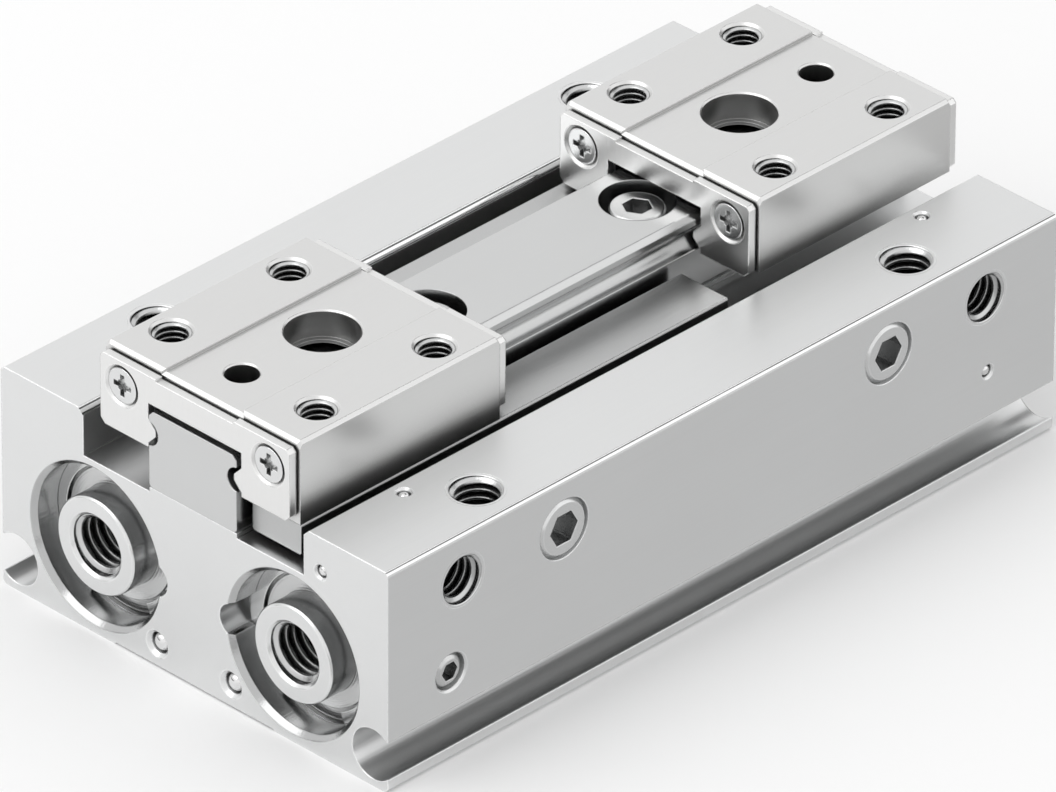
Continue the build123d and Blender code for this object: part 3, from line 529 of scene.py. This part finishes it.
def make_finishes():
    """Every material, keyed by the finish that the nodes and pieces ask for."""
    settings = bpy.context.scene.gripper_finish
    body = tuple(settings.body_colour)
    jaw = tuple(settings.jaw_colour)
    steel = tuple(settings.steel_colour)
    bright = toned(steel, 1.08)
    rail = toned(steel, 0.92)
    bar = toned(steel, 0.8)
    plate = toned(jaw, 1.12)
    hard_anodised = (0.5, 0.5, 0.49)
    bronze = (0.62, 0.42, 0.2)
    body_rough = settings.body_roughness
    cap_rings = rings_of(bore_distance)
    plug_rings = rings_of(side_screw_distance("port_plugs"))
    lock_rings = rings_of(side_screw_distance("cap_lock_screws"))
    rail_rings = rings_of(rail_screw_distance)
    plate_rings = rings_of(plate_screw_distance)
    # Each row: name, colour, roughness, grain, its depth in mm, and what differs from the usual metal
    # Of what differs, edge sets the painted highlight on edges, hollow the painted shade in hollows, and cut
    # the painted shade of the body's recesses
    rows = {
        "body": ("drawn_aluminium", body, body_rough, drawn_grain, 0.010, {
            "edge": 0.3, "hollow": 0.5, "cut": bore_recess}),
        "collar": ("drawn_aluminium_collar", body, body_rough, drawn_grain, 0.010, {"rounding": 0.0}),
        "jaw": ("ground_jaw_steel", jaw, 0.32, ground_grain, 0.008, {
            "hollow": 0.85, "local": False, "rounding": 0.6}),
        "rail": ("ground_rail_steel", rail, 0.24, ground_grain, 0.006, {"edge": 0.0}),
        "plate": ("brushed_plate_steel", plate, 0.32, brushed_grain, 0.008, {}),
        "bar": ("milled_bar_steel", bar, 0.3, ground_grain, 0.012, {"hollow": 1.1, "local": False}),
        "cap": ("turned_cap_alloy", body, 0.24, cap_rings, 0.016, {"hollow": 0.5, "local": False}),
        "ring": ("spring_steel", bright, 0.18, cap_rings, 0.005, {"hollow": 0.4, "local": False}),
        "plug": ("turned_plug_steel", bright, 0.25, plug_rings, 0.008, {"hollow": 0.5}),
        "lock": ("turned_grub_steel", rail, 0.22, lock_rings, 0.006, {"hollow": 0.55}),
        "rail_screw": ("turned_screw_steel", rail, 0.26, rail_rings, 0.006, {"hollow": 0.7}),
        "plate_screw": ("small_screw_steel", bright, 0.24, plate_rings, 0.005, {"hollow": 0.95}),
        "thread": ("cut_thread_metal", rail, 0.22, ground_grain, 0.004, {"edge": 0.0, "hollow": 0.76}),
        "piston": ("hard_anodised_piston", hard_anodised, 0.36, cap_rings, 0.008, {}),
        "bronze": ("sintered_bronze", bronze, 0.42, brushed_grain, 0.012, {}),
    }
    made = {
        key: metal(name, colour, roughness, grain, depth * mm, **rest)
        for key, (name, colour, roughness, grain, depth, rest) in rows.items()}
    made["ball"] = polished_ball("polished_ball_steel", (0.8, 0.8, 0.8))
    made["rubber"] = rubber("moulded_rubber", tuple(settings.rubber_colour))
    made["magnet"] = plastic_magnet("bonded_magnet")
    return made


slot_finish = {
    "body_alloy": "body", "guide_steel": "rail", "jaw_steel": "jaw", "plate_steel": "plate",
    "bar_steel": "bar", "screw_steel": "plate_screw", "plug_steel": "plug", "ring_steel": "ring",
    "ball_steel": "ball", "cap_alloy": "cap", "piston_alloy": "piston", "bush_bronze": "bronze",
    "seal_rubber": "rubber", "magnet": "magnet",
}
node_finish = {"rail_screws": "rail_screw", "cap_lock_screws": "lock", "pinion": "bar"}
finishes = {}


def dress(piece, finish):
    """Gives an object one finish in every material slot."""
    if not piece.material_slots:
        piece.data.materials.append(None)
    for place in piece.material_slots:
        place.link = "OBJECT"
        place.material = finishes[finish]


# Meshes

# Sizes of a thread in metres: its flare is a share of the pitch, and it starts the sink below the mouth
ThreadKind = namedtuple("ThreadKind", "pitch length flare sink body slot")


def mesh_piece(name, points, faces, finish, body, slot):
    """Object from arrays of points and faces, merged, facing outwards and riding on a body."""
    mesh = bpy.data.meshes.new(name)
    mesh.from_pydata(points.tolist(), [], faces)
    shape = bmesh.new()
    shape.from_mesh(mesh)
    bmesh.ops.remove_doubles(shape, verts=shape.verts, dist=merge_distance)
    bmesh.ops.dissolve_degenerate(shape, edges=shape.edges, dist=merge_distance)
    bmesh.ops.recalc_face_normals(shape, faces=shape.faces)
    shape.to_mesh(mesh)
    shape.free()
    piece = bpy.data.objects.new(name, mesh)
    bpy.context.scene.collection.objects.link(piece)
    dress(piece, finish)
    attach(piece, body)
    return piece


def out_of(axis):
    """Two directions that stand square to an axis."""
    axis = np.array(axis, float)
    helper = np.array((0.0, 0.0, 1.0)) if abs(axis[2]) < 0.5 else np.array((1.0, 0.0, 0.0))
    first = np.cross(axis, helper)
    first /= np.linalg.norm(first)
    return first, np.cross(axis, first)


def thread_points(radius, pitch, length, height, flare, steps):
    """Grid of a cut thread: rows follow the helix, so row k is at depth pitch * (k / rows + angle / turn).

    The tooth is a trapezoid across a pitch, with its crest at radius - height and its root at radius. Depth
    is held between 0 and length, and both ends widen to the radius over the flare. The last column repeats
    the first, one pitch deeper. Returns columns by rows of angle, radius and depth.
    """
    tooth = np.array([0.0, 0.0, 1.0, 1.0])
    share = np.array([0.0, 0.16, 0.45, 0.71])
    turns = int(length / pitch) + 3
    rows_at = np.concatenate([share + turn for turn in range(-2, turns)])
    height_at = np.tile(tooth, turns + 2) * height
    turn_at = np.arange(steps + 1) / steps
    depth = np.clip(pitch * (rows_at[None, :] + turn_at[:, None]), 0.0, length)
    room = np.minimum(depth, length - depth) / flare * height
    away = radius - np.minimum(height_at[None, :], room)
    angle = np.broadcast_to(2 * pi * turn_at[:, None], depth.shape)
    return angle, away, depth


def hole_places(mount):
    """Middles of the mouths of a mount's holes: one hole, a row along X, or the corners of a rectangle."""
    middle = np.array(mount["pos_m"], float)
    dims = mount["dims"]
    if "spacing_x_mm" not in dims:
        return [middle + np.array(mount["axis"], float) * dims["length_mm"] / 2 * mm]
    half_x = dims["spacing_x_mm"] / 2 * mm
    half_y = dims.get("spacing_y_mm", 0.0) / 2 * mm
    rows = (-half_y, half_y) if half_y else (0.0,)
    return [middle + np.array((x, y, 0.0)) for x in (-half_x, half_x) for y in rows]


def thread_piece(mount, kind, height, steps):
    """Cut threads that line the holes of a mount: a helical grid inside and a plain wall against each hole.

    A point is the mouth + away * (first * cos angle + second * sin angle) - axis * (depth + sink).
    """
    dims = mount["dims"]
    radius = dims.get("r_mm", dims.get("hole_r_mm")) * mm - hole_gap
    axis = np.array(mount["axis"], float)
    flare = kind.flare * kind.pitch
    angle, away, depth = thread_points(radius, kind.pitch, kind.length, height, flare, steps)
    first, second = out_of(axis)
    columns, rows = depth.shape
    ring = np.cos(angle)[..., None] * first + np.sin(angle)[..., None] * second
    inner = ring * away[..., None] - axis * depth[..., None]
    wall = ring[:, 0] * radius
    outer = np.stack([wall, wall - axis * kind.length], axis=1)
    single = np.concatenate([inner.reshape(-1, 3), outer.reshape(-1, 3)])
    column = np.arange(columns - 1)[:, None]
    row = np.arange(rows - 1)[None, :]
    corner = column * rows + row
    inner_faces = np.stack([corner, corner + 1, corner + 1 + rows, corner + rows], axis=-1).reshape(-1, 4)
    start = columns * rows
    across = start + 2 * np.arange(columns - 1)
    outer_faces = np.stack([across, across + 2, across + 3, across + 1], axis=-1)
    faces = np.concatenate([inner_faces, outer_faces])
    places = hole_places(mount)
    points = np.concatenate([single + place - axis * kind.sink for place in places])
    faces = np.concatenate([faces + index * len(single) for index in range(len(places))])
    return mesh_piece("cut_" + mount["name"], points, faces.tolist(), "thread", kind.body, kind.slot)


def mouth_collar(mount, mouth, sink, steps):
    """Collars that fill the chamfers at the mouths of a mount's holes, each a closed profile turned round.

    A point is the mouth + radius * (first * cos angle + second * sin angle) - axis * (depth + sink).
    """
    axis = np.array(mount["axis"], float)
    first, second = out_of(axis)
    radius = mount["dims"]["hole_r_mm"] * mm
    inner = radius - hole_gap / 2
    foot = mouth - 2 * seam_gap
    profile = np.array([
        (radius + mouth - seam_gap, 0.0), (inner + collar_lip, 0.0), (inner, collar_lip), (inner, foot),
        (radius - seam_gap, foot)])
    angle = 2 * pi * np.arange(steps) / steps
    ring = np.cos(angle)[:, None] * first + np.sin(angle)[:, None] * second
    single = (ring[:, None, :] * profile[None, :, :1] - axis * profile[None, :, 1:]).reshape(-1, 3)
    sides = len(profile)
    column = np.arange(steps)[:, None]
    row = np.arange(sides)[None, :]
    next_column = (column + 1) % steps
    next_row = (row + 1) % sides
    quads = np.stack([
        column * sides + row, next_column * sides + row,
        next_column * sides + next_row, column * sides + next_row], axis=-1).reshape(-1, 4)
    places = hole_places(mount)
    points = np.concatenate([single + place - axis * sink for place in places])
    faces = np.concatenate([quads + index * len(single) for index in range(len(places))])
    return mesh_piece("collar_" + mount["name"], points, faces.tolist(), "collar", "body", "body_alloy")


def ball_places():
    """Middle and radius of each sealing ball, half of them turned half a turn about Z onto the other half."""
    places = [
        ((-34.05, -3.84, 1.96), 0.85), ((-34.05, 3.84, 1.96), 0.85), ((-34.42, -13.1, 15.84), 0.5),
        ((-26.4, -13.0, 18.22), 0.5), ((27.8, -13.0, 18.22), 0.5), ((27.8, -19.42, 8.27), 0.5),
    ]
    centres = np.array([place for place, radius in places]) * mm
    radii = np.array([radius for place, radius in places]) * mm
    return np.concatenate([centres, centres * (-1, -1, 1)]), np.concatenate([radii, radii])


def ball_piece(name, centres, radii, body, slot):
    """Balls: radius * (sin u cos v, sin u sin v, cos u), with u from pole to pole and v round the axis."""
    down = np.linspace(0, pi, ball_steps + 1)[:, None]
    round_angle = np.linspace(0, 2 * pi, 2 * ball_steps + 1)[None, :]
    level = np.sin(down)
    height = np.cos(down) + 0 * round_angle
    unit = np.stack([level * np.cos(round_angle), level * np.sin(round_angle), height], axis=-1)
    unit = unit.reshape(-1, 3)
    across = 2 * ball_steps + 1
    corner = np.arange(ball_steps)[:, None] * across + np.arange(across - 1)[None, :]
    single = np.stack([corner, corner + across, corner + across + 1, corner + 1], axis=-1).reshape(-1, 4)
    points = (centres[:, None, :] + radii[:, None, None] * unit[None, :, :]).reshape(-1, 3)
    faces = np.concatenate([single + index * len(unit) for index in range(len(radii))])
    balls = mesh_piece(name, points, faces.tolist(), "ball", body, slot)
    balls.data.shade_smooth()
    return balls


# Operators

class GRIPPER_OT_finishes(bpy.types.Operator):
    """Make every material and give the CAD nodes their finish"""

    bl_idname = "gripper.finishes"
    bl_label = "Finishes"

    def execute(self, context):
        finishes.update(make_finishes())
        for subpart in frame["record"]["subparts"]:
            node = subpart["node"]
            finish = node_finish.get(node, slot_finish[subpart["material_slot"]])
            dress(frame["nodes"][node], finish)
        return {"FINISHED"}


class GRIPPER_OT_threads(bpy.types.Operator):
    """Cut the threads of the ports, the body and the jaws"""

    bl_idname = "gripper.threads"
    bl_label = "Threads"

    def execute(self, context):
        sizes = context.scene.gripper_threads
        port = sizes.port_pitch, sizes.port_length
        body = sizes.body_pitch, sizes.body_length
        jaw = sizes.jaw_pitch, sizes.jaw_length
        wide_flare, narrow_flare = 0.5, 0.2
        side_sink = sizes.mouth - sizes.lead_in
        kinds = {
            "port": ThreadKind(*port, wide_flare, 0.0, "body", "cap_alloy"),
            "top_threads": ThreadKind(*body, wide_flare, -sizes.lead_in, "body", "body_alloy"),
            "side_threads": ThreadKind(*body, wide_flare, side_sink, "body", "body_alloy"),
            "jaw_a_threads": ThreadKind(*jaw, narrow_flare, 0.0, "carriage_a", "jaw_steel"),
            "jaw_b_threads": ThreadKind(*jaw, narrow_flare, 0.0, "carriage_b", "jaw_steel"),
        }
        collar_sinks = {"top_threads": -sizes.mouth, "side_threads_left": 0.0, "side_threads_right": 0.0}
        for mount in frame["record"]["mounts"]:
            name = mount["name"]
            for key, kind in kinds.items():
                if name.startswith(key):
                    thread_piece(mount, kind, sizes.depth_share * kind.pitch, sizes.steps)
            if name in collar_sinks:
                mouth_collar(mount, sizes.mouth, collar_sinks[name], sizes.steps)
        return {"FINISHED"}


class GRIPPER_OT_balls(bpy.types.Operator):
    """Put true round sealing balls in the mouths of the air drillings"""

    bl_idname = "gripper.balls"
    bl_label = "Sealing balls"

    def execute(self, context):
        centres, radii = ball_places()
        balls = ball_piece("sealing_balls", centres, radii, "body", "ball_steel")
        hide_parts("channel_balls")
        return {"FINISHED"}


class GRIPPER_OT_studio(bpy.types.Operator):
    """Build the floor, the soft light, the reflection cards and the camera"""

    bl_idname = "gripper.studio"
    bl_label = "Studio"

    def execute(self, context):
        settings = context.scene.gripper_studio
        context.scene.view_settings.view_transform = "Standard"
        make_room(settings)
        make_floor(settings)
        make_lamp(settings)
        make_cards()
        make_camera(settings)
        return {"FINISHED"}


def make_room(settings):
    """White room: full white for the camera and for reflections, softer on matt surfaces."""
    world = bpy.data.worlds.new("white_room")
    world.use_nodes = True
    bpy.context.scene.world = world
    room = RoomShader(world)
    camera_ray = room.add("ShaderNodeLightPath", {}, {}, "Is Camera Ray")
    glossy_ray = camera_ray.sibling("Is Glossy Ray")
    seen = (camera_ray + glossy_ray + camera_ray.sibling("Is Transmission Ray")).clip()
    room.put(Color=(1, 1, 1, 1), Strength=settings.sky_strength + seen * (1 - settings.sky_strength))
    world.cycles.sampling_method = "NONE"


def flat_sheet(name, corner, along, across):
    """Flat rectangle from a corner and its two sides."""
    corner, along, across = (np.array(side, float) for side in (corner, along, across))
    points = [corner, corner + along, corner + along + across, corner + across]
    mesh = bpy.data.meshes.new(name)
    mesh.from_pydata([tuple(point) for point in points], [], [(0, 1, 2, 3)])
    sheet = bpy.data.objects.new(name, mesh)
    bpy.context.scene.collection.objects.link(sheet)
    return sheet


def make_floor(settings):
    """Pale matt floor at the foot of the body, in metres."""
    half = 3
    floor = flat_sheet("floor", (-half, -half, 0), (2 * half, 0, 0), (0, 2 * half, 0))
    shader = Shader("pale_floor")
    shader.put(Base_Color=(*settings.floor_colour, 1.0), Roughness=1.0, Specular_IOR_Level=0.0)
    floor.data.materials.append(shader.material)


def make_lamp(settings):
    """One large soft lamp over the left shoulder."""
    lamp = bpy.data.lights.new("main_lamp", "AREA")
    lamp.shape = "SQUARE"
    lamp.size = settings.key_size
    lamp.energy = settings.key_power
    place = Vector(settings.key_place)
    holder = bpy.data.objects.new("main_lamp", lamp)
    holder.location = place
    holder.rotation_euler = (-place).to_track_quat("-Z", "Y").to_euler()
    bpy.context.scene.collection.objects.link(holder)


def make_cards():
    """Cards that only reflections see; they shape the metal as in a studio."""
    # Each row: a corner, the two sides from it, and how bright the card is
    cards = {
        "front_card": ((-0.3, -0.62, 0.0005), (1.15, 0, 0), (0, 0.5995, 0), 0.62),
        "right_card": ((0.25, -0.9, 0.06), (0.7, 0.5, 0), (-0.1, 0.3, 0.75), 1.15),
        "left_flag": ((-0.95, 0.3, 0.0), (0.55, 0.7, 0), (0, 0, 0.12), 0.08),
        "far_flag": ((1.0, -0.15, 0.0), (-0.15, 0.65, 0), (0, 0, 0.3), 0.05),
        "high_flag": ((0.5, -0.12, 1.0), (0.6, 0, 0), (0, 0.6, 0), 0.08),
    }
    for name, (corner, along, across, level) in cards.items():
        card = flat_sheet(name, corner, along, across)
        shader = Shader(name + "_paper")
        shader.put(Base_Color=(0, 0, 0, 1), Emission_Color=(level, level, level, 1))
        shader.put(Emission_Strength=1.0, Specular_IOR_Level=0.0)
        card.data.materials.append(shader.material)
        card.visible_camera = False
        card.visible_diffuse = False
        card.visible_shadow = False


def make_camera(settings):
    """Camera on the photograph's line of sight."""
    azimuth, elevation = settings.azimuth, settings.elevation
    back = Vector((sin(azimuth) * cos(elevation), -cos(azimuth) * cos(elevation), sin(elevation)))
    level = Vector((cos(azimuth), sin(azimuth), 0))
    upward = back.cross(level)
    right = level * cos(settings.roll) + upward * sin(settings.roll)
    up = upward * cos(settings.roll) - level * sin(settings.roll)
    place = right * settings.shift_right + up * settings.shift_up + back * settings.distance
    place += Vector((0, 0, settings.target_height))
    data = bpy.data.cameras.new("camera")
    data.sensor_width = 36.0
    data.lens = settings.lens
    data.clip_start = 0.05
    data.clip_end = 20.0
    camera = bpy.data.objects.new("camera", data)
    turn = Matrix((right, up, back)).transposed().to_4x4()
    camera.matrix_world = Matrix.Translation(place) @ turn
    bpy.context.scene.collection.objects.link(camera)
    bpy.context.scene.camera = camera


class GRIPPER_PT_panel(bpy.types.Panel):
    """Lists the steps that dress the gripper"""

    bl_idname = "GRIPPER_PT_panel"
    bl_label = "Gripper"
    bl_space_type = "VIEW_3D"
    bl_region_type = "UI"
    bl_category = "Gripper"

    def draw(self, context):
        for step in steps:
            self.layout.operator(step.bl_idname)
        for name, group in groups.items():
            box = self.layout.box()
            for key in group.__annotations__:
                box.prop(getattr(context.scene, name), key)


steps = (GRIPPER_OT_finishes, GRIPPER_OT_threads, GRIPPER_OT_balls, GRIPPER_OT_studio)
groups = {
    "gripper_finish": FinishSettings,
    "gripper_threads": ThreadSettings,
    "gripper_studio": StudioSettings,
}
classes = (*groups.values(), *steps, GRIPPER_PT_panel)


def register():
    """Registers the classes and hangs the settings on the scene."""
    for kind in classes:
        bpy.utils.register_class(kind)
    for name, group in groups.items():
        setattr(bpy.types.Scene, name, PointerProperty(type=group))


def unregister():
    """Takes the settings and the classes away again."""
    for name in groups:
        delattr(bpy.types.Scene, name)
    for kind in reversed(classes):
        bpy.utils.unregister_class(kind)


def main():
    register()
    bpy.ops.gripper.finishes()
    bpy.ops.gripper.threads()
    bpy.ops.gripper.balls()
    bpy.ops.gripper.studio()


if __name__ == "__main__":
    main()
